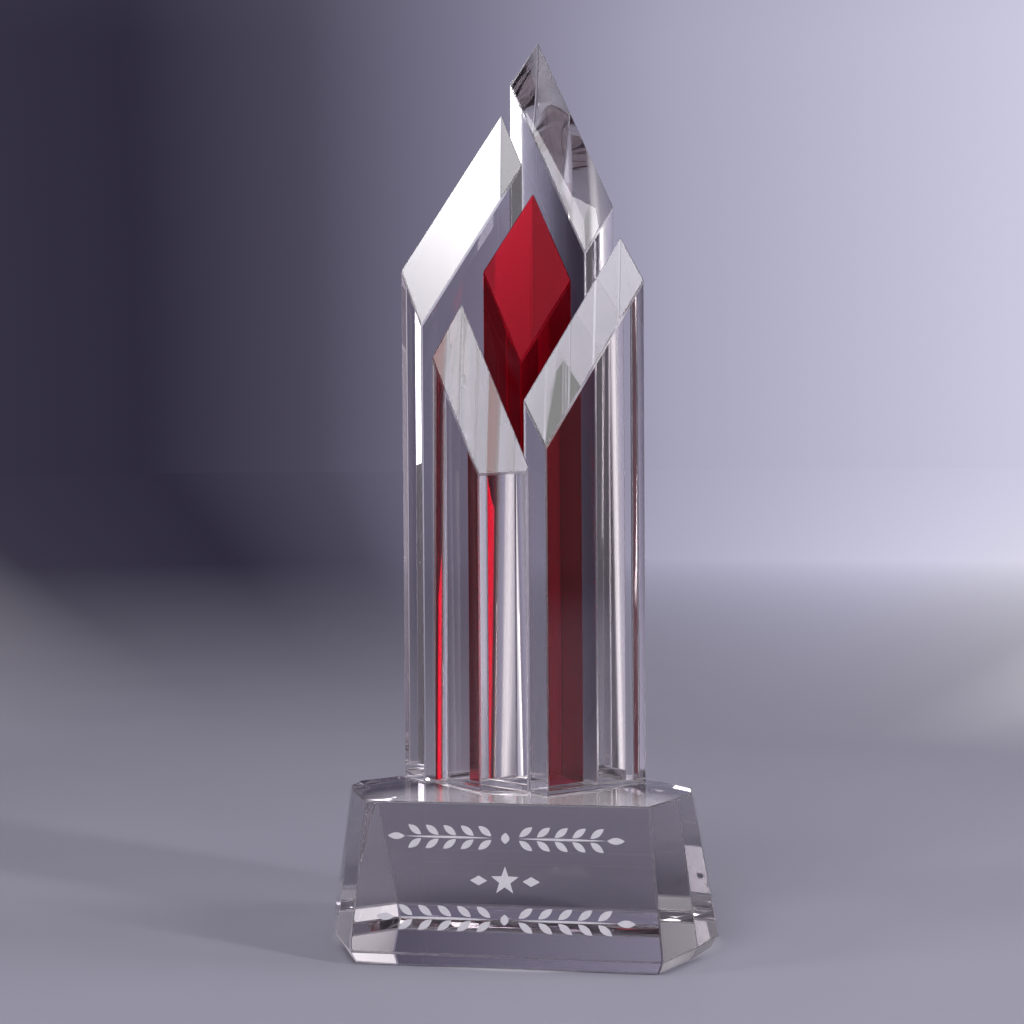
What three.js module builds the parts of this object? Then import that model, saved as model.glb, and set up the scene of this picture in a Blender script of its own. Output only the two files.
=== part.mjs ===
// Crystal award: a ruby red square bar ringed by four clear slabs that stand on a faceted clear base.
// Millimetres, +Z up. The origin is the middle of the underside of the base, -Y is the engraved front
// and +X is the award's right as its front is looked at.

import * as THREE from "three";
import { ConvexGeometry } from "three/addons/geometries/ConvexGeometry.js";

// ---- Driving dimensions ----

const BASE = {
  height: 51,
  bevelHeight: 4.4, // polished bevel round the underside
  bevelInset: 2.6,
  // Edges of the top face, or their lines, from the front round to the rear: each leaning facet starts
  // from the line between two points and leans out by its lean down to the bevel. The left half mirrors
  // the right.
  front: { from: { x: -44.4, y: -37.95 }, to: { x: 44.4, y: -37.95 }, lean: 4.3 },
  rear: { from: { x: 30, y: 41.05 }, to: { x: -30, y: 41.05 }, lean: 1.2 },
  rightHalf: [
    { from: { x: 44.4, y: -37.95 }, to: { x: 51.8, y: -22.05 }, lean: 5.8 }, // front corner
    { from: { x: 51.8, y: -22.05 }, to: { x: 55.5, y: -10.75 }, lean: 6 }, // side
    { from: { x: 55.5, y: -10.75 }, to: { x: 51.2, y: 39.05 }, lean: 8.3 }, // flank
    { from: { x: 95.9, y: 0 }, to: { x: 0, y: 95.9 }, lean: -5.6 }, // undercut rear corner
  ],
  // The shoulder slopes off the top's rear corner: x + y on it is reach at the top face and grows by
  // spread for each millimetre below.
  shoulder: { reach: 52.55, spread: 3.25 },
};

const FILM = 0.2; // cured adhesive in each joint
const CLEARANCE = 0.02; // between a film and the glass on either side of it
const FILM_SET_BACK = 0.4; // a film stops short of the edges that it joins

const CLUSTER = {
  x: 0.7, // axis of the ruby bar on the base
  y: 6.55,
  turn: -Math.PI / 4, // the bars stand cornerwise to the front face
};
const BAR_SIDE = 20.8;
const SLAB = 12.1; // thickness of the four clear slabs

// The square hole that the slabs leave round the ruby bar, in the cluster's own axes.
const WELL = {
  left: -16.3,
  right: 17.4,
  front: -14.9,
  rear: BAR_SIDE / 2 + FILM,
};

// Heights above the top of the base of three corners of each sloping top; the fourth lies in their plane.
// In the cluster's own axes, rear is (-x, +y), left is (-x, -y) and right is (+x, +y).
const TOPS = {
  ruby_bar: { rear: 195.1, left: 167.6, right: 164.2 },
  rear_slab: { rear: 249, left: 233.2, right: 188.3 },
  left_slab: { rear: 223.9, left: 168.6, right: 204.8 },
  front_slab: { rear: 157.8, left: 139.4, right: 103.6 },
  right_slab: { rear: 178.9, left: 124.7, right: 163.6 },
};
const SLAB_LENGTHS = { rear_slab: 41.2, left_slab: 41.2, front_slab: 37.2, right_slab: 40 };
const FRONT_CUT = 11; // legs of the flat that takes off the front corner of the front slab

// ---- Materials ----

const clearCrystal = new THREE.MeshStandardMaterial({
  color: 0xe4e2ea,
  roughness: 0.03,
  metalness: 0,
  transparent: true,
  opacity: 0.45,
});
const rubyCrystal = new THREE.MeshStandardMaterial({
  color: 0x9a0f26,
  roughness: 0.03,
  metalness: 0,
  transparent: true,
  opacity: 0.8,
});
const adhesive = new THREE.MeshStandardMaterial({
  color: 0xf2f0ea,
  roughness: 0.12,
  metalness: 0,
  transparent: true,
  opacity: 0.5,
});

// ---- Helpers ----

// The four corners of an upright rectangle's plan.
function rectangle(left, right, front, rear) {
  return [
    { x: left, y: front },
    { x: right, y: front },
    { x: right, y: rear },
    { x: left, y: rear },
  ];
}

// The height over any (x, y) of the plane through three points given as { x, y, z }.
function planeThrough(a, b, c) {
  const corner = (p) => new THREE.Vector3(p.x, p.y, p.z);
  const plane = new THREE.Plane().setFromCoplanarPoints(corner(a), corner(b), corner(c));
  const { normal, constant } = plane;
  return (x, y) => -(constant + normal.x * x + normal.y * y) / normal.z;
}

// An upright prism on a plan outline, from z = bottom up to the height that topAt gives.
function slopedPrism(outline, bottom, topAt) {
  const shape = new THREE.Shape(outline.map((p) => new THREE.Vector2(p.x, p.y)));
  const geometry = new THREE.ExtrudeGeometry(shape, { depth: 1, bevelEnabled: false });
  const place = geometry.getAttribute("position");
  for (let i = 0; i < place.count; i++) {
    const isTop = place.getZ(i) > 0.5;
    place.setZ(i, isTop ? topAt(place.getX(i), place.getY(i)) : bottom);
  }
  geometry.computeVertexNormals();
  return geometry;
}

function part(name, geometry, material) {
  const mesh = new THREE.Mesh(geometry, material);
  mesh.name = name;
  return mesh;
}

// ---- Base ----

// A plane that faces out of the block along (x, y, z) and passes through a point.
function facing(x, y, z, point) {
  return new THREE.Plane().setFromNormalAndCoplanarPoint(new THREE.Vector3(x, y, z).normalize(), point);
}

// The two planes of one leaning side: its facet and the bevel under it.
function sidePlanes({ from, to, lean }) {
  const { height, bevelHeight, bevelInset } = BASE;
  const length = Math.hypot(to.x - from.x, to.y - from.y);
  const out = { x: (to.y - from.y) / length, y: (from.x - to.x) / length };
  const top = new THREE.Vector3(from.x, from.y, height);
  const low = new THREE.Vector3(from.x + out.x * lean, from.y + out.y * lean, bevelHeight);
  return [
    facing(out.x, out.y, lean / (height - bevelHeight), top),
    facing(out.x, out.y, -bevelInset / bevelHeight, low),
  ];
}

function mirrored({ normal, constant }) {
  return new THREE.Plane(new THREE.Vector3(-normal.x, normal.y, normal.z), constant);
}

// The point that three planes share, or null if they have none.
function meetingPoint(a, b, c) {
  const rows = new THREE.Matrix3().set(...a.normal, ...b.normal, ...c.normal);
  if (Math.abs(rows.determinant()) < 1e-6) return null;
  return new THREE.Vector3(-a.constant, -b.constant, -c.constant).applyMatrix3(rows.invert());
}

// The corners of the solid behind every plane.
function cornersBehind(planes) {
  const corners = [];
  planes.forEach((a, i) =>
    planes.slice(i + 1).forEach((b, j) =>
      planes.slice(i + j + 2).forEach((c) => {
        const point = meetingPoint(a, b, c);
        if (!point || planes.some((plane) => plane.distanceToPoint(point) > 1e-6)) return;
        if (corners.every((corner) => corner.distanceTo(point) > 1e-4)) corners.push(point);
      }),
    ),
  );
  return corners;
}

function baseBlock() {
  const { height, front, rear, rightHalf, shoulder } = BASE;
  const slope = facing(1, 1, shoulder.spread, new THREE.Vector3(shoulder.reach, 0, height));
  const right = [...rightHalf.flatMap(sidePlanes), slope];
  const planes = [
    ...right,
    ...right.map(mirrored),
    ...sidePlanes(front),
    ...sidePlanes(rear),
    facing(0, 0, 1, new THREE.Vector3(0, 0, height)),
    facing(0, 0, -1, new THREE.Vector3(0, 0, 0)),
  ];
  return part("base_block", new ConvexGeometry(cornersBehind(planes)), clearCrystal);
}

// ---- Bars and slabs ----

// Plan rectangles in the cluster's own axes. Each slab butts against the inner face of the next one round.
const PLANS = {
  ruby_bar: {
    left: -BAR_SIDE / 2,
    right: BAR_SIDE / 2,
    front: -BAR_SIDE / 2,
    rear: BAR_SIDE / 2,
  },
  rear_slab: {
    left: WELL.right - SLAB_LENGTHS.rear_slab,
    right: WELL.right,
    front: WELL.rear,
    rear: WELL.rear + SLAB,
  },
  left_slab: {
    left: WELL.left - SLAB,
    right: WELL.left,
    front: WELL.rear - FILM - SLAB_LENGTHS.left_slab,
    rear: WELL.rear - FILM,
  },
  front_slab: {
    left: WELL.left + FILM,
    right: WELL.left + FILM + SLAB_LENGTHS.front_slab,
    front: WELL.front - SLAB,
    rear: WELL.front,
  },
  right_slab: {
    left: WELL.right + FILM,
    right: WELL.right + FILM + SLAB,
    front: WELL.front + FILM,
    rear: WELL.front + FILM + SLAB_LENGTHS.right_slab,
  },
};

// A plan's outline, with its front corner (+x, -y) taken off where cut is not zero.
function outlineOf({ left, right, front, rear }, cut = 0) {
  if (!cut) return rectangle(left, right, front, rear);
  return [
    { x: left, y: front },
    { x: right - cut, y: front },
    { x: right, y: front + cut },
    { x: right, y: rear },
    { x: left, y: rear },
  ];
}

// The sloping top of a bar or slab, as a height over the base's top at any plan point.
function topOf(name) {
  const { left, right, front, rear } = PLANS[name];
  const heights = TOPS[name];
  return planeThrough(
    { x: left, y: rear, z: heights.rear },
    { x: left, y: front, z: heights.left },
    { x: right, y: rear, z: heights.right },
  );
}

function bar(name, material, cut) {
  return part(name, slopedPrism(outlineOf(PLANS[name], cut), FILM, topOf(name)), material);
}

// ---- Adhesive films ----

// The film between a bar's foot and the base, a little smaller than the foot.
function footFilm(name, cut) {
  const plan = PLANS[name];
  const inner = {
    left: plan.left + FILM_SET_BACK,
    right: plan.right - FILM_SET_BACK,
    front: plan.front + FILM_SET_BACK,
    rear: plan.rear - FILM_SET_BACK,
  };
  const outline = outlineOf(inner, cut);
  const top = FILM - CLEARANCE;
  return part(`foot_film_${name}`, slopedPrism(outline, CLEARANCE, () => top), adhesive);
}

// The film in an upright joint. The gap runs along x or y and the film stops under both sloping tops.
function jointFilm(name, first, second, gap) {
  const a = topOf(first);
  const b = topOf(second);
  const outline = rectangle(gap.left, gap.right, gap.front, gap.rear);
  const lower = outline.every((p) => a(p.x, p.y) < b(p.x, p.y)) ? a : b;
  const topAt = (x, y) => lower(x, y) - FILM_SET_BACK;
  return part(name, slopedPrism(outline, FILM + FILM_SET_BACK, topAt), adhesive);
}

// The gap between two plans that face each other across FILM, trimmed to where both reach.
function gapBetween(first, second) {
  const a = PLANS[first];
  const b = PLANS[second];
  const span = (low, high) => {
    const start = Math.max(a[low], b[low]);
    const end = Math.min(a[high], b[high]);
    return start < end
      ? [start + FILM_SET_BACK, end - FILM_SET_BACK]
      : [end + CLEARANCE, start - CLEARANCE];
  };
  const [left, right] = span("left", "right");
  const [front, rear] = span("front", "rear");
  return { left, right, front, rear };
}

// ---- Assembly ----

const FRONT_CUTS = { front_slab: FRONT_CUT };
const JOINTS = [
  ["ruby_bar", "rear_slab"],
  ["left_slab", "rear_slab"],
  ["rear_slab", "right_slab"],
  ["right_slab", "front_slab"],
  ["front_slab", "left_slab"],
];

const cluster = new THREE.Group();
cluster.position.set(CLUSTER.x, CLUSTER.y, BASE.height);
cluster.rotation.z = CLUSTER.turn;
for (const name of Object.keys(PLANS)) {
  const material = name === "ruby_bar" ? rubyCrystal : clearCrystal;
  const cut = FRONT_CUTS[name] ?? 0;
  cluster.add(bar(name, material, cut), footFilm(name, cut));
}
for (const [first, second] of JOINTS)
  cluster.add(jointFilm(`joint_film_${first}_${second}`, first, second, gapBetween(first, second)));

const award = new THREE.Group();
award.add(baseBlock(), cluster);

export default award;
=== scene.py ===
"""The looks of a crystal award: a ruby bar ringed by four clear slabs on a faceted clear base.

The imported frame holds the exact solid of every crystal. Each one is remade here with narrow,
finely ground arrises and given real crystal to look through, the joints get their clear adhesive,
and the sloping front of the base gets an etched ornament.
"""

import logging
import math
from collections.abc import Iterable
from dataclasses import dataclass
from enum import Enum

import bmesh
import bpy
from mathutils import Matrix, Vector


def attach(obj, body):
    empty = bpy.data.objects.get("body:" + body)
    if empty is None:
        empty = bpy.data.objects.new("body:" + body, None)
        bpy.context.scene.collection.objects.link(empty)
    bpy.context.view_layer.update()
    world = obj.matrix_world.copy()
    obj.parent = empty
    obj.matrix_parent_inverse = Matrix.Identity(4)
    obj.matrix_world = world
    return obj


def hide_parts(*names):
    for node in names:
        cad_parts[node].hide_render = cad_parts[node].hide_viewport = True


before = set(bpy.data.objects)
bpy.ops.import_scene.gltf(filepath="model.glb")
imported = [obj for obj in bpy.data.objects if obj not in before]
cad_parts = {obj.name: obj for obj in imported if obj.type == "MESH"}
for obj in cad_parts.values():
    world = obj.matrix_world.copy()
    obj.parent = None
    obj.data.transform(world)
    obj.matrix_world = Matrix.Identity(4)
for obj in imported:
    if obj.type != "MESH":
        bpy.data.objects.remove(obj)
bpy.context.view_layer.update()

MM = 0.001
BODY = "root"
RUBY_BAR = "ruby_bar"
LOG = logging.getLogger("award")

Colour = tuple[float, float, float, float]
Side = tuple[Vector, Vector]  # a point on a flat side, and its outward normal


class Slot(Enum):
    """The record's material slots, after which the finishes are named."""

    CLEAR = "clear_crystal"
    RUBY = "ruby_crystal"
    ADHESIVE = "clear_adhesive"
    ETCH = "etched_frost"


# ---- Shader maths ----


@dataclass(frozen=True)
class Signal:
    """A number or colour on its way through a material, to which Python's operators add nodes."""

    bench: "Bench"
    socket: bpy.types.NodeSocket

    def __add__(self, other: "Signal | float") -> "Signal":
        """Add."""
        return self.bench.maths("ADD", self, other)

    def __radd__(self, other: float) -> "Signal":
        """Add, with the number first."""
        return self.bench.maths("ADD", other, self)

    def __rsub__(self, other: float) -> "Signal":
        """Subtract from a number."""
        return self.bench.maths("SUBTRACT", other, self)

    def __rmul__(self, other: float) -> "Signal":
        """Multiply, with the number first."""
        return self.bench.maths("MULTIPLY", other, self)

    def __truediv__(self, other: "Signal | float") -> "Signal":
        """Divide."""
        return self.bench.maths("DIVIDE", self, other)

    def __gt__(self, other: "Signal | float") -> "Signal":
        """1 where this is the greater, or else 0."""
        return self.bench.maths("GREATER_THAN", self, other)


class Bench:
    """Where the nodes of one material or world are put together."""

    def __init__(self, tree: bpy.types.NodeTree) -> None:
        """Clear a node tree and take it over."""
        self.tree = tree
        self.tree.nodes.clear()

    def node(
        self,
        kind: str,
        settings: dict[str, object] | None = None,
        sockets: dict[str | int, object] | None = None,
    ) -> bpy.types.Node:
        """Add a node.

        Args:
            kind: the node's type.
            settings: its properties, which are set first; "stops" holds a ramp's (place, colour) pairs.
            sockets: the value or link of each input socket, by name or number.

        Returns:
            The new node.
        """
        made = self.tree.nodes.new(kind)
        for name, value in (settings or {}).items():
            if name == "stops":
                self._set_stops(made.color_ramp, value)
            else:
                setattr(made, name, value)
        for key, value in (sockets or {}).items():
            self.plug(made.inputs[key], value)
        return made

    def plug(self, socket: bpy.types.NodeSocket, value: object) -> None:
        """Link a signal or another socket to a socket, or set the socket's own value."""
        if isinstance(value, Signal):
            self.tree.links.new(value.socket, socket)
        elif isinstance(value, bpy.types.NodeSocket):
            self.tree.links.new(value, socket)
        else:
            socket.default_value = value

    def signal(self, node: bpy.types.Node, output: str | int = 0) -> Signal:
        """One output of a node, as a signal."""
        return Signal(self, node.outputs[output])

    def maths(self, operation: str, first: Signal | float, second: Signal | float) -> Signal:
        """Add a Math node on two values."""
        made = self.node("ShaderNodeMath", {"operation": operation}, {0: first, 1: second})
        return self.signal(made)

    def blend(self, share: Signal, first: Colour | Signal, second: Colour | Signal) -> Signal:
        """Mix two colours.

        Args:
            share: 0 gives the first colour and 1 the second.
            first: a colour or a signal.
            second: a colour or a signal.

        Returns:
            The mixed colour.
        """
        settings = {"data_type": "RGBA", "clamp_factor": True}
        made = self.node("ShaderNodeMix", settings, {0: share, 6: first, 7: second})
        return self.signal(made, 2)

    def place(self) -> Signal:
        """The point on the piece, in metres."""
        return self.signal(self.node("ShaderNodeTexCoord"), "Object")

    def mark(self, name: str) -> Signal:
        """The value of a face attribute."""
        return self.signal(self.node("ShaderNodeAttribute", {"attribute_name": name}), "Fac")

    def length(self, vector: Signal) -> Signal:
        """How long a vector is."""
        made = self.node("ShaderNodeVectorMath", {"operation": "LENGTH"}, {0: vector})
        return self.signal(made, "Value")

    def part(self, vector: Signal, axis: str) -> Signal:
        """A vector's part along the X, Y or Z axis."""
        return self.signal(self.node("ShaderNodeSeparateXYZ", None, {0: vector}), axis)

    def noise(self, size: float, detail: float) -> Signal:
        """Soft noise over the piece.

        Args:
            size: the width of its blotches, in metres.
            detail: how many finer layers it has.

        Returns:
            A value around a half.
        """
        sockets = {"Vector": self.place(), "Scale": 1 / size, "Detail": detail}
        return self.signal(self.node("ShaderNodeTexNoise", None, sockets))

    def ramp(self, value: Signal, stops: Iterable[tuple[float, object]]) -> Signal:
        """Turn a value into a colour or a number by a ramp's (place, colour) stops."""
        made = self.node("ShaderNodeValToRGB", {"stops": stops}, {0: value})
        return self.signal(made)

    def bump(self, height: Signal, depth: float) -> Signal:
        """The normals of a surface that a height between 0 and 1 raises by up to depth metres."""
        sockets = {"Height": height, "Distance": depth, "Strength": 1.0}
        return self.signal(self.node("ShaderNodeBump", None, sockets))

    @staticmethod
    def _set_stops(ramp: bpy.types.ColorRamp, stops: Iterable[tuple[float, object]]) -> None:
        """Give a ramp its stops; a plain number stands for a grey."""
        while len(ramp.elements) > 1:
            ramp.elements.remove(ramp.elements[-1])
        for index, (spot, colour) in enumerate(stops):
            element = ramp.elements.new(spot) if index else ramp.elements[0]
            element.position = spot
            element.color = colour if isinstance(colour, tuple) else (colour, colour, colour, 1.0)


def new_material(name: str) -> tuple[bpy.types.Material, Bench]:
    """A new material and the bench for its nodes."""
    material = bpy.data.materials.new(name)
    material.use_nodes = True
    return material, Bench(material.node_tree)


# ---- Finishes ----

WETTED = "wetted"  # face attribute: 1 where adhesive wets a crystal, or else 0
GROUND = "ground"  # face attribute: 1 on the finely ground arrises, or else 0


@dataclass(frozen=True)
class CrystalFinish:
    """Polished crystal with a trace of hand polish, dull on its arrises and clear where it is wetted.

    The tint colours light at each surface and the depth tint on its way through, the denser the
    more. The mirror tint colours reflections, and clarity is the share of light that gets in.
    """

    slot: Slot
    tint: Colour
    depth_tint: Colour
    depth_density: float
    clarity: float = 1.0
    mirror_tint: Colour = (1.0, 1.0, 1.0, 1.0)
    index: float = 1.52
    wave_size: float = 14 * MM
    wave_height: float = 0.003 * MM
    smear_size: float = 26 * MM
    smear: tuple[tuple[float, float], ...] = ((0.52, 0.0), (0.8, 0.006))  # noise to roughness
    arris_roughness: float = 0.42

    def material(self) -> bpy.types.Material:
        """Build the material."""
        material, bench = new_material(self.slot.value)
        smear = bench.ramp(bench.noise(self.smear_size, 4.0), self.smear)
        sockets = {
            "Base Color": self.tint,
            "Roughness": smear + self.arris_roughness * bench.mark(GROUND),
            "IOR": self.index,
            "Alpha": 1 - bench.mark(WETTED),
            "Normal": bench.bump(bench.noise(self.wave_size, 1.0), self.wave_height),
            "Transmission Weight": self.clarity,
            "Specular Tint": self.mirror_tint,
        }
        glass = bench.node("ShaderNodeBsdfPrincipled", None, sockets)
        depth = {"Color": self.depth_tint, "Density": self.depth_density}
        inside = bench.node("ShaderNodeVolumeAbsorption", None, depth)
        ends = {"Surface": glass.outputs[0], "Volume": inside.outputs[0]}
        bench.node("ShaderNodeOutputMaterial", None, ends)
        return material


@dataclass(frozen=True)
class AdhesiveFinish:
    """Clear cured adhesive, which crystal sees straight through, with a few fine bubbles."""

    slot: Slot = Slot.ADHESIVE
    tint: Colour = (0.95, 0.95, 0.97, 1.0)
    bubble_size: float = 0.7 * MM
    bubble_level: float = 0.84  # the noise is over this in a bubble
    film_cover: float = 0.004
    bubble_cover: float = 0.12

    def material(self) -> bpy.types.Material:
        """Build the material."""
        material, bench = new_material(self.slot.value)
        bubbles = bench.noise(self.bubble_size, 0.0) > self.bubble_level
        sockets = {
            "Base Color": self.tint,
            "Roughness": 0.3,
            "IOR": 1.02,
            "Alpha": self.film_cover + self.bubble_cover * bubbles,
        }
        film = bench.node("ShaderNodeBsdfPrincipled", None, sockets)
        bench.node("ShaderNodeOutputMaterial", None, {"Surface": film.outputs[0]})
        return material


@dataclass(frozen=True)
class EtchFinish:
    """Frost blasted into crystal: matt, grey-white and faintly grainy."""

    slot: Slot = Slot.ETCH
    grey: Colour = (0.56, 0.54, 0.58, 1.0)
    white: Colour = (0.72, 0.70, 0.74, 1.0)
    grain_size: float = 0.35 * MM
    grain_height: float = 0.03 * MM
    patch_size: float = 2.5 * MM

    def material(self) -> bpy.types.Material:
        """Build the material."""
        material, bench = new_material(self.slot.value)
        grain = bench.noise(self.grain_size, 3.0)
        sockets = {
            "Base Color": bench.blend(grain, self.grey, self.white),
            "Roughness": 0.55 + 0.2 * grain,
            "IOR": 1.45,
            "Alpha": 0.78 + 0.2 * bench.noise(self.patch_size, 2.0),
            "Normal": bench.bump(grain, self.grain_height),
        }
        etched = bench.node("ShaderNodeBsdfPrincipled", None, sockets)
        bench.node("ShaderNodeOutputMaterial", None, {"Surface": etched.outputs[0]})
        return material


@dataclass(frozen=True)
class Surroundings:
    """The glow far around the award, which shows behind it and lights and mirrors in it."""

    # along x, from 0 on the left to 1 on the right
    horizon: tuple[tuple[float, Colour], ...] = (
        (0.0, (0.13, 0.125, 0.14, 1.0)),
        (0.09, (0.30, 0.29, 0.31, 1.0)),
        (0.15, (0.60, 0.59, 0.62, 1.0)),  # a soft patch far on the left
        (0.2, (0.28, 0.27, 0.30, 1.0)),
        (0.27, (0.050, 0.045, 0.070, 1.0)),
        (0.33, (0.036, 0.032, 0.056, 1.0)),  # the duskiest stretch
        (0.37, (0.080, 0.074, 0.110, 1.0)),
        (0.41, (0.19, 0.18, 0.25, 1.0)),
        (0.46, (0.35, 0.34, 0.44, 1.0)),
        (0.545, (0.52, 0.51, 0.64, 1.0)),
        (0.62, (0.66, 0.65, 0.72, 1.0)),
        (0.67, (1.35, 1.33, 1.37, 1.0)),  # the brightest stretch
        (0.735, (1.15, 1.13, 1.17, 1.0)),
        (0.78, (0.42, 0.41, 0.45, 1.0)),
        (0.9, (0.38, 0.37, 0.41, 1.0)),
        (1.0, (0.17, 0.165, 0.19, 1.0)),
    )
    overhead: Colour = (0.17, 0.165, 0.185, 1.0)
    dimming: tuple[tuple[float, float], ...] = ((0.2, 0.0), (0.75, 1.0))  # by the sine of the height

    def glow(self, bench: Bench, across: Signal) -> Signal:
        """The colour of the horizon, from -1 on the left to 1 on the right."""
        return bench.ramp(0.5 + 0.5 * across, self.horizon)

    def world(self) -> bpy.types.World:
        """Build the sky, which fades from the horizon's colours to a dim one overhead."""
        world = bpy.data.worlds.new("studio")
        world.use_nodes = True
        bench = Bench(world.node_tree)
        way = bench.signal(bench.node("ShaderNodeTexCoord"), "Generated")
        dim = bench.ramp(bench.part(way, "Z"), self.dimming)
        colour = bench.blend(dim, self.glow(bench, bench.part(way, "X")), self.overhead)
        sky = bench.node("ShaderNodeBackground", None, {"Color": colour, "Strength": 1.0})
        bench.node("ShaderNodeOutputWorld", None, {"Surface": sky.outputs[0]})
        return world


@dataclass(frozen=True)
class PaperFinish:
    """Pale paper near the award, with painted light glowing in it under the base, that turns into the
    plain glow of its surroundings far away.
    """

    surroundings: Surroundings
    shade: Colour = (0.31, 0.30, 0.36, 1.0)
    pale: Colour = (0.34, 0.33, 0.39, 1.0)
    mottle_size: float = 90 * MM
    haze: tuple[float, float] = (0.45, 2.2)  # how far out it starts turning, and has turned
    # painted light: the paper glows under the base in this colour and strength, with no lamp there
    painted_glow_colour: Colour = (1.0, 0.98, 1.0, 1.0)
    painted_glow_strength: float = 0.75
    painted_glow_reach: tuple[float, float] = (30 * MM, 42 * MM)  # where the painted glow starts fading, and is gone
    painted_glow_squeeze: tuple[float, float, float] = (0.66, 1.0, 1.0)

    def material(self) -> bpy.types.Material:
        """Build the material."""
        material, bench = new_material("pale_paper")
        mottle = bench.noise(self.mottle_size, 3.0)
        sockets = {
            "Base Color": bench.blend(mottle, self.shade, self.pale),
            "Roughness": 0.5 + 0.1 * mottle,
            "IOR": 1.28,
            # painted light: an emission patch in the paper under the base
            "Emission Color": self._painted_glow_under_base(bench),
            "Emission Strength": self.painted_glow_strength,
        }
        paper = bench.node("ShaderNodeBsdfPrincipled", None, sockets)
        spot = bench.place()
        far = bench.length(spot)
        glow = self.surroundings.glow(bench, bench.part(spot, "X") / far)
        haze = bench.node("ShaderNodeEmission", None, {"Color": glow, "Strength": 1.0})
        near, gone = self.haze
        share = bench.ramp(far / gone, [(near / gone, 0.0), (1.0, 1.0)])
        blend = {0: share, 1: paper.outputs[0], 2: haze.outputs[0]}
        mixed = bench.node("ShaderNodeMixShader", None, blend)
        bench.node("ShaderNodeOutputMaterial", None, {"Surface": mixed.outputs[0]})
        return material

    def _painted_glow_under_base(self, bench: Bench) -> Signal:
        """The soft patch of painted light that glows in the paper, all of it under the base, with no
        lamp there.
        """
        mapping = {"Vector": bench.place(), "Scale": self.painted_glow_squeeze}
        squeezed = bench.signal(bench.node("ShaderNodeMapping", None, mapping))
        full, gone = self.painted_glow_reach
        return bench.ramp(bench.length(squeezed), [(full, self.painted_glow_colour), (gone, 0.0)])


# ---- Meshes ----

WELD = 0.002 * MM  # corners this close are one
FLAT = math.radians(0.2)  # faces that bend less than this are one flat side
PARALLEL = 0.9999  # the cosine past which two directions are the same


def merged_copy(node: str) -> bmesh.types.BMesh:
    """A copy of a CAD node's solid with its corners joined and each flat side as one face."""
    copy = bmesh.new()
    copy.from_mesh(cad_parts[node].data)
    bmesh.ops.remove_doubles(copy, verts=copy.verts[:], dist=WELD)
    bmesh.ops.dissolve_limit(copy, angle_limit=FLAT, verts=copy.verts[:], edges=copy.edges[:])
    bmesh.ops.recalc_face_normals(copy, faces=copy.faces[:])
    return copy


def add_object(name: str, data: bpy.types.ID) -> bpy.types.Object:
    """A new object in the scene, which shows a mesh, a light or a camera."""
    made = bpy.data.objects.new(name, data)
    bpy.context.scene.collection.objects.link(made)
    return made


def add_piece(
    name: str, shape: bmesh.types.BMesh, material: bpy.types.Material
) -> bpy.types.Object:
    """A new object made of a finished bmesh, which is freed, in one material."""
    mesh = bpy.data.meshes.new(name)
    shape.to_mesh(mesh)
    shape.free()
    mesh.materials.append(material)
    return add_object(name, mesh)


# ---- Crystals and films ----


@dataclass(frozen=True)
class Film:
    """The adhesive film in one joint, as a set of flat sides."""

    node: str
    sides: list[Side]

    @classmethod
    def of(cls, node: str) -> "Film":
        """Read a film's sides off its CAD node."""
        solid = merged_copy(node)
        sides = [(side.calc_center_median(), side.normal.copy()) for side in solid.faces]
        solid.free()
        return cls(node, sides)

    @property
    def under_a_foot(self) -> bool:
        """Whether the film lies between a crystal's foot and the base."""
        return self.node.startswith("foot")

    def rims_on(self, point: Vector, normal: Vector, reach: float) -> list[Side]:
        """The film's rim where it wets a flat face.

        Args:
            point: a point on the face.
            normal: the face's outward normal.
            reach: the widest gap that the adhesive still bridges.

        Returns:
            The sides that bound the wetted area, or nothing if the film is elsewhere.
        """
        if not any(
            side.dot(normal) < -PARALLEL and abs((centre - point).dot(normal)) < reach
            for centre, side in self.sides
        ):
            return []
        return [(centre, side) for centre, side in self.sides if abs(side.dot(normal)) < PARALLEL]


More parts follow.
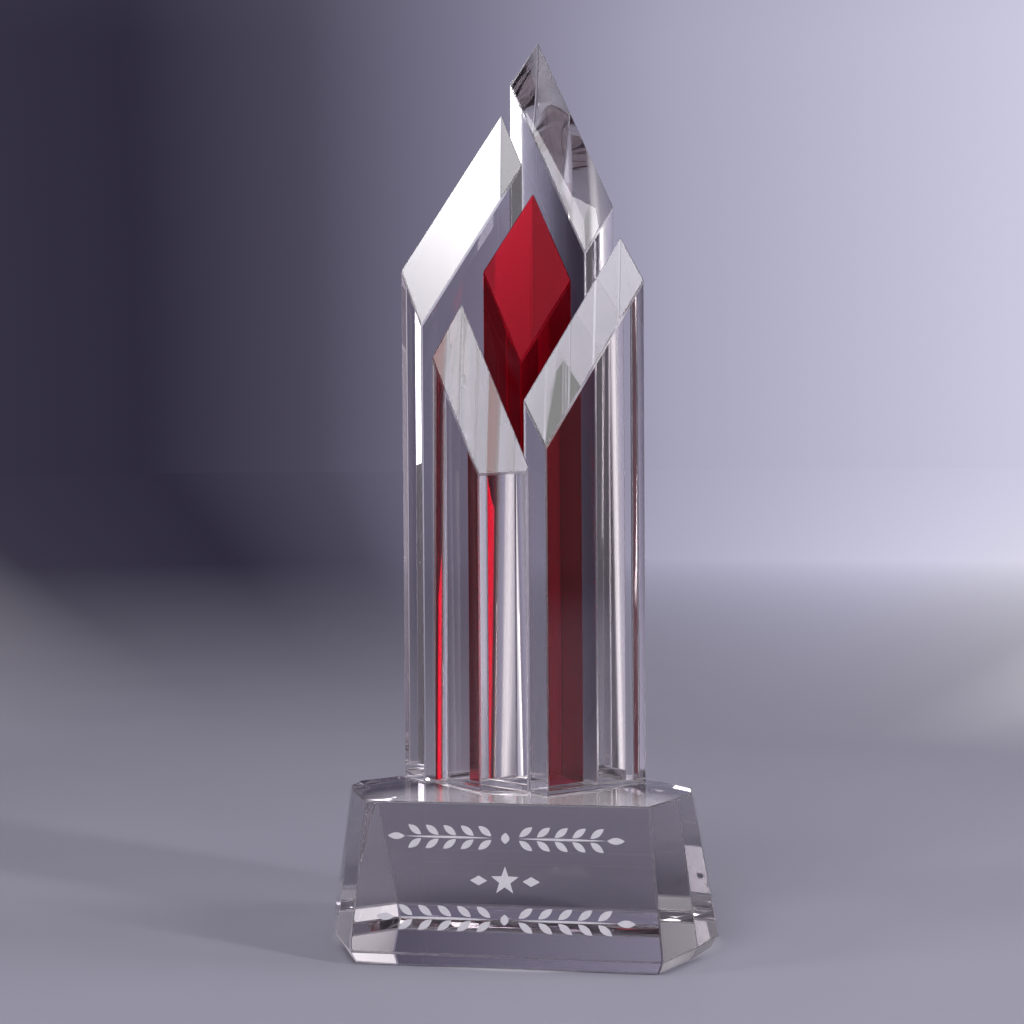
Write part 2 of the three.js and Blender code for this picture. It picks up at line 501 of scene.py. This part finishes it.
@dataclass(frozen=True)
class Crystal:
    """One cut crystal: the CAD solid with ground arrises, wetted where the given films meet it."""

    node: str
    slot: Slot
    films: list[Film]
    arris: float = 0.45 * MM
    arris_steps: int = 2
    wetting_reach: float = 0.05 * MM
    plane_reach: float = 0.01 * MM  # faces this close to a plane lie in it
    cut_reach: float = 0.0001 * MM
    least_facet: float = (3 * MM) ** 2  # an arris is smaller

    def build(self, material: bpy.types.Material) -> bpy.types.Object:
        """Make the crystal and let it stand for its CAD node.

        Args:
            material: what it is cut from.

        Returns:
            The finished piece.
        """
        solid = merged_copy(self.node)
        ground = solid.faces.layers.float.new(GROUND)
        arrises = bmesh.ops.bevel(
            solid,
            geom=solid.edges[:],
            offset=self.arris,
            offset_type="OFFSET",
            affect="EDGES",
            segments=self.arris_steps,
            profile=0.5,
            material=-1,
            clamp_overlap=True,
        )
        for facet in arrises["faces"]:
            facet[ground] = 1.0
        self._mark_wetted(solid)
        piece = add_piece(f"{self.node}_crystal", solid, material)
        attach(piece, BODY)
        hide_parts(self.node)
        return piece

    def _mark_wetted(self, solid: bmesh.types.BMesh) -> None:
        """Find the flat face that each film wets, and mark what lies inside the film's rim."""
        layer = solid.faces.layers.float.new(WETTED)
        for film in self.films:
            facets = [face for face in solid.faces if face.calc_area() > self.least_facet]
            for facet in facets:
                point, normal = facet.calc_center_median(), facet.normal.copy()
                rims = film.rims_on(point, normal, self.wetting_reach)
                if rims:
                    self._score(solid, (point, normal), rims, layer)
                    break

    def _score(
        self,
        solid: bmesh.types.BMesh,
        plane: Side,
        rims: list[Side],
        layer: bmesh.types.BMLayerItem,
    ) -> None:
        """Cut a film's rims into the faces of one plane and mark what lies inside all of them.

        Args:
            solid: the crystal.
            plane: a point on the plane, and its normal.
            rims: the sides of the film that bound the wetted area.
            layer: the attribute that holds the marks.
        """
        for centre, side in rims:
            faces = self._faces_in(solid, plane)
            edges = dict.fromkeys(edge for face in faces for edge in face.edges)
            corners = dict.fromkeys(corner for face in faces for corner in face.verts)
            bmesh.ops.bisect_plane(
                solid,
                geom=[*faces, *edges, *corners],
                dist=self.cut_reach,
                plane_co=centre,
                plane_no=side,
            )
        for face in self._faces_in(solid, plane):
            middle = face.calc_center_median()
            if all((middle - centre).dot(side) < 0 for centre, side in rims):
                face[layer] = 1.0

    def _faces_in(self, solid: bmesh.types.BMesh, plane: Side) -> list[bmesh.types.BMFace]:
        """The faces that lie in a plane."""
        point, normal = plane
        return [
            face
            for face in solid.faces
            if face.normal.dot(normal) > PARALLEL
            and abs((face.calc_center_median() - point).dot(normal)) < self.plane_reach
        ]


@dataclass(frozen=True)
class Cluster:
    """Every crystal and film of the award."""

    clear: CrystalFinish = CrystalFinish(
        Slot.CLEAR,
        tint=(0.95, 0.93, 0.935, 1.0),
        depth_tint=(0.24, 0.17, 0.24, 1.0),
        depth_density=6.5,
    )
    ruby: CrystalFinish = CrystalFinish(
        Slot.RUBY,
        tint=(0.52, 0.008, 0.035, 1.0),
        depth_tint=(0.70, 0.0, 0.25, 1.0),
        depth_density=66.0,
        clarity=0.9,
        mirror_tint=(0.45, 0.03, 0.06, 1.0),
    )
    adhesive: AdhesiveFinish = AdhesiveFinish()

    def build(self) -> list[bpy.types.Object]:
        """Remake the crystals and dress the films.

        Only the films under the feet wet their crystals, so the faces in the upright joints stay
        mirror-bright.

        Returns:
            The finished crystals and films.
        """
        nodes = sorted(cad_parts)
        films = [Film.of(node) for node in nodes if "film" in node]
        feet = [film for film in films if film.under_a_foot]
        materials = {finish.slot: finish.material() for finish in (self.clear, self.ruby)}
        pieces = []
        for node in nodes:
            if "film" not in node:
                slot = Slot.RUBY if node == RUBY_BAR else Slot.CLEAR
                pieces.append(Crystal(node, slot, feet).build(materials[slot]))
        cured = self.adhesive.material()
        for film in films:
            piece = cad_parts[film.node]
            for place in piece.material_slots:
                place.material = cured
            pieces.append(piece)
        return pieces


# ---- Ornament ----


@dataclass(frozen=True)
class SprigRow:
    """Two sprigs of paired leaves that grow outwards from a seed in the middle on thin stems."""

    height: float
    reach: float
    leaf: float
    gap: float = 4.0 * MM
    spread: float = math.radians(36)
    root_out: float = 0.2 * MM
    root_up: float = 0.5 * MM
    stem_width: float = 0.7 * MM
    seed: tuple[float, float] = (3.4 * MM, 2.6 * MM)
    leaf_pitch: float = 0.98  # the rest are shares of the leaf's length
    leaf_width: float = 0.38
    paired_length: float = 0.94

    def draw(self, flat: bmesh.types.BMesh) -> None:
        """Add the row to a flat bmesh."""
        stem = self.reach - self.leaf - self.gap
        pairs = round(stem / (self.leaf_pitch * self.leaf))
        width = self.leaf_width * self.leaf
        for side in (-1.0, 1.0):
            facing = 0.0 if side > 0 else math.pi
            self._leaf(flat, (side * (self.gap + stem / 2), self.height), stem, self.stem_width, 0.0)
            tip = (side * (self.reach - self.leaf / 2), self.height)
            self._leaf(flat, tip, self.leaf, width, facing)
            for index in range(pairs):
                root = self.gap + index * stem / pairs + self.root_out
                for rise in (-1.0, 1.0):
                    tilt = rise * self.spread
                    spot = (
                        side * (root + self.leaf / 2 * math.cos(tilt)),
                        self.height + self.leaf / 2 * math.sin(tilt) + rise * self.root_up,
                    )
                    turn = tilt if side > 0 else math.pi - tilt
                    self._leaf(flat, spot, self.paired_length * self.leaf, width, turn)
        self._leaf(flat, (0.0, self.height), *self.seed, math.pi / 2)

    @staticmethod
    def _leaf(
        flat: bmesh.types.BMesh, at: tuple[float, float], long: float, wide: float, turn: float
    ) -> None:
        """Add a leaf that points along +X before it is turned and moved to its place."""
        made = bmesh.ops.create_circle(flat, cap_ends=True, segments=32, radius=1.0)
        for corner in made["verts"]:
            corner.co.x *= long / 2
            corner.co.y *= abs(corner.co.y) * wide / 2
        seat = Matrix.Translation((*at, 0.0)) @ Matrix.Rotation(turn, 4, "Z")
        bmesh.ops.transform(flat, matrix=seat, verts=made["verts"])


@dataclass(frozen=True)
class StarRow:
    """A five-pointed star between two lozenges."""

    height: float
    tip: float = 4.5 * MM
    notch: float = 1.85 * MM
    lozenge_place: float = 8.2 * MM
    lozenge: tuple[float, float] = (2.7 * MM, 1.5 * MM)  # half its width and half its height

    def draw(self, flat: bmesh.types.BMesh) -> None:
        """Add the row to a flat bmesh."""
        star = bmesh.ops.create_circle(flat, cap_ends=True, segments=10, radius=1.0)
        for index, corner in enumerate(star["verts"]):
            angle = math.pi / 2 + index * math.pi / 5
            reach = self.notch if index % 2 else self.tip
            corner.co = (reach * math.cos(angle), self.height + reach * math.sin(angle), 0.0)
        wide, tall = self.lozenge
        for side in (-1.0, 1.0):
            lozenge = bmesh.ops.create_circle(flat, cap_ends=True, segments=4, radius=1.0)
            for index, corner in enumerate(lozenge["verts"]):
                angle = index * math.pi / 2
                corner.co = (
                    side * self.lozenge_place + wide * math.cos(angle),
                    self.height + tall * math.sin(angle),
                    0.0,
                )


@dataclass(frozen=True)
class Ornament:
    """A generic design etched on the sloping front: laurel sprigs over and under a star."""

    finish: EtchFinish = EtchFinish()
    proud: float = 0.03 * MM
    depth: float = 0.05 * MM
    rows: tuple[SprigRow | StarRow, ...] = (
        SprigRow(height=40.4 * MM, reach=37.0 * MM, leaf=5.4 * MM),
        StarRow(height=27.4 * MM),
        SprigRow(height=15.6 * MM, reach=40.5 * MM, leaf=5.8 * MM),
    )

    def build(self) -> bpy.types.Object:
        """Etch the design.

        Returns:
            The finished ornament.
        """
        flat = bmesh.new()
        for row in self.rows:
            row.draw(flat)
        grown = bmesh.ops.extrude_face_region(flat, geom=flat.faces[:])
        lifted = [item for item in grown["geom"] if isinstance(item, bmesh.types.BMVert)]
        bmesh.ops.translate(flat, verts=lifted, vec=(0.0, 0.0, self.depth))
        bmesh.ops.recalc_face_normals(flat, faces=flat.faces[:])
        flat.transform(self._front_plane())
        piece = add_piece("ornament", flat, self.finish.material())
        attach(piece, BODY)
        return piece

    def _front_plane(self) -> Matrix:
        """From (across, up, out) on the base's front facet, with heights kept, to the frame."""
        block = merged_copy("base_block")
        front = max(block.faces, key=lambda face: -face.normal.y * face.calc_area())
        point, out = front.calc_center_median(), front.normal.copy()
        block.free()
        across = Vector((1.0, 0.0, 0.0))
        up = out.cross(across)
        up /= up.z  # one metre up the design is one metre higher in the frame
        origin = point - up * point.z + out * self.proud
        columns = Matrix((across, up, out)).transposed().to_4x4()
        return Matrix.Translation((0.0, origin.y, origin.z)) @ columns


# ---- Studio ----


@dataclass(frozen=True)
class Softbox:
    """One soft lamp, aimed at the award."""

    name: str
    place: tuple[float, float, float]
    size: tuple[float, float]
    watts: float
    colour: tuple[float, float, float] = (1.0, 1.0, 1.0)

    def hang(self, target: Vector) -> None:
        """Put the lamp in its place and turn it to a point."""
        data = bpy.data.lights.new(self.name, "AREA")
        data.shape = "RECTANGLE"
        data.size, data.size_y = self.size
        data.energy = self.watts
        data.color = self.colour
        lamp = add_object(self.name, data)
        lamp.location = self.place
        aim = target - Vector(self.place)
        lamp.rotation_euler = aim.to_track_quat("-Z", "Y").to_euler()


@dataclass(frozen=True)
class Studio:
    """The pale floor and the soft light."""

    surroundings: Surroundings = Surroundings()
    floor_reach: float = 14.0
    air_gap: float = 0.1 * MM  # under the base, so that its underside mirrors
    target: tuple[float, float, float] = (0.0, 0.0, 0.15)
    lamps: tuple[Softbox, ...] = (
        Softbox("key", (-0.18, -0.87, 1.36), (0.95, 0.75), 11.0),
        Softbox("strip_right", (1.4, 0.15, 0.7), (0.5, 1.0), 7.0, (0.93, 0.92, 1.0)),
        Softbox("sliver_right", (1.15, -0.55, 0.62), (0.09, 0.9), 7.5),
        Softbox("sliver_left", (-1.1, -0.6, 0.62), (0.16, 0.9), 3.0),
    )
    crossings: int = 40  # how many faces of nested crystal light may cross
    mirrorings: int = 16

    def build(self) -> None:
        """Set up the floor, the lamps, the sky and how light is traced and shown."""
        self._lay_floor()
        for lamp in self.lamps:
            lamp.hang(Vector(self.target))
        scene = bpy.context.scene
        scene.world = self.surroundings.world()
        scene.cycles.max_bounces = self.crossings
        scene.cycles.transmission_bounces = self.crossings
        scene.cycles.transparent_max_bounces = self.crossings
        scene.cycles.glossy_bounces = self.mirrorings
        scene.view_settings.view_transform = "Standard"
        scene.view_settings.look = "Medium High Contrast"

    def _lay_floor(self) -> None:
        """A wide round sheet under the award that melts into the far surroundings."""
        sheet = bmesh.new()
        bmesh.ops.create_circle(sheet, cap_ends=True, segments=64, radius=self.floor_reach)
        bmesh.ops.translate(sheet, verts=sheet.verts[:], vec=(0.0, 0.0, -self.air_gap))
        floor = add_piece("floor", sheet, PaperFinish(self.surroundings).material())


@dataclass(frozen=True)
class Viewpoint:
    """The camera: a little to the award's right, looking slightly down."""

    place: tuple[float, float, float] = (100.4 * MM, -631.95 * MM, 160.3 * MM)
    heading: float = 9.35  # in degrees, as are the tilt and the roll
    tilt: float = -1.84
    roll: float = -0.36
    lens: float = 69.06  # in millimetres
    nearest: float = 0.01

    def build(self) -> None:
        """Set up the camera."""
        data = bpy.data.cameras.new("camera")
        data.lens = self.lens
        data.clip_start = self.nearest
        camera = add_object("camera", data)
        turn = Matrix.Rotation(math.radians(self.heading), 4, "Z")
        lift = Matrix.Rotation(math.radians(90 + self.tilt), 4, "X")
        lean = Matrix.Rotation(math.radians(self.roll), 4, "Z")
        camera.matrix_world = Matrix.Translation(self.place) @ turn @ lift @ lean
        bpy.context.scene.camera = camera


def main() -> None:
    """Build everything in order."""
    logging.basicConfig(level=logging.INFO, format="%(name)s: %(message)s")
    Viewpoint().build()
    for piece in (*Cluster().build(), Ornament().build()):
        LOG.info("%s: %d faces", piece.name, len(piece.data.polygons))
    Studio().build()


if __name__ == "__main__":
    main()
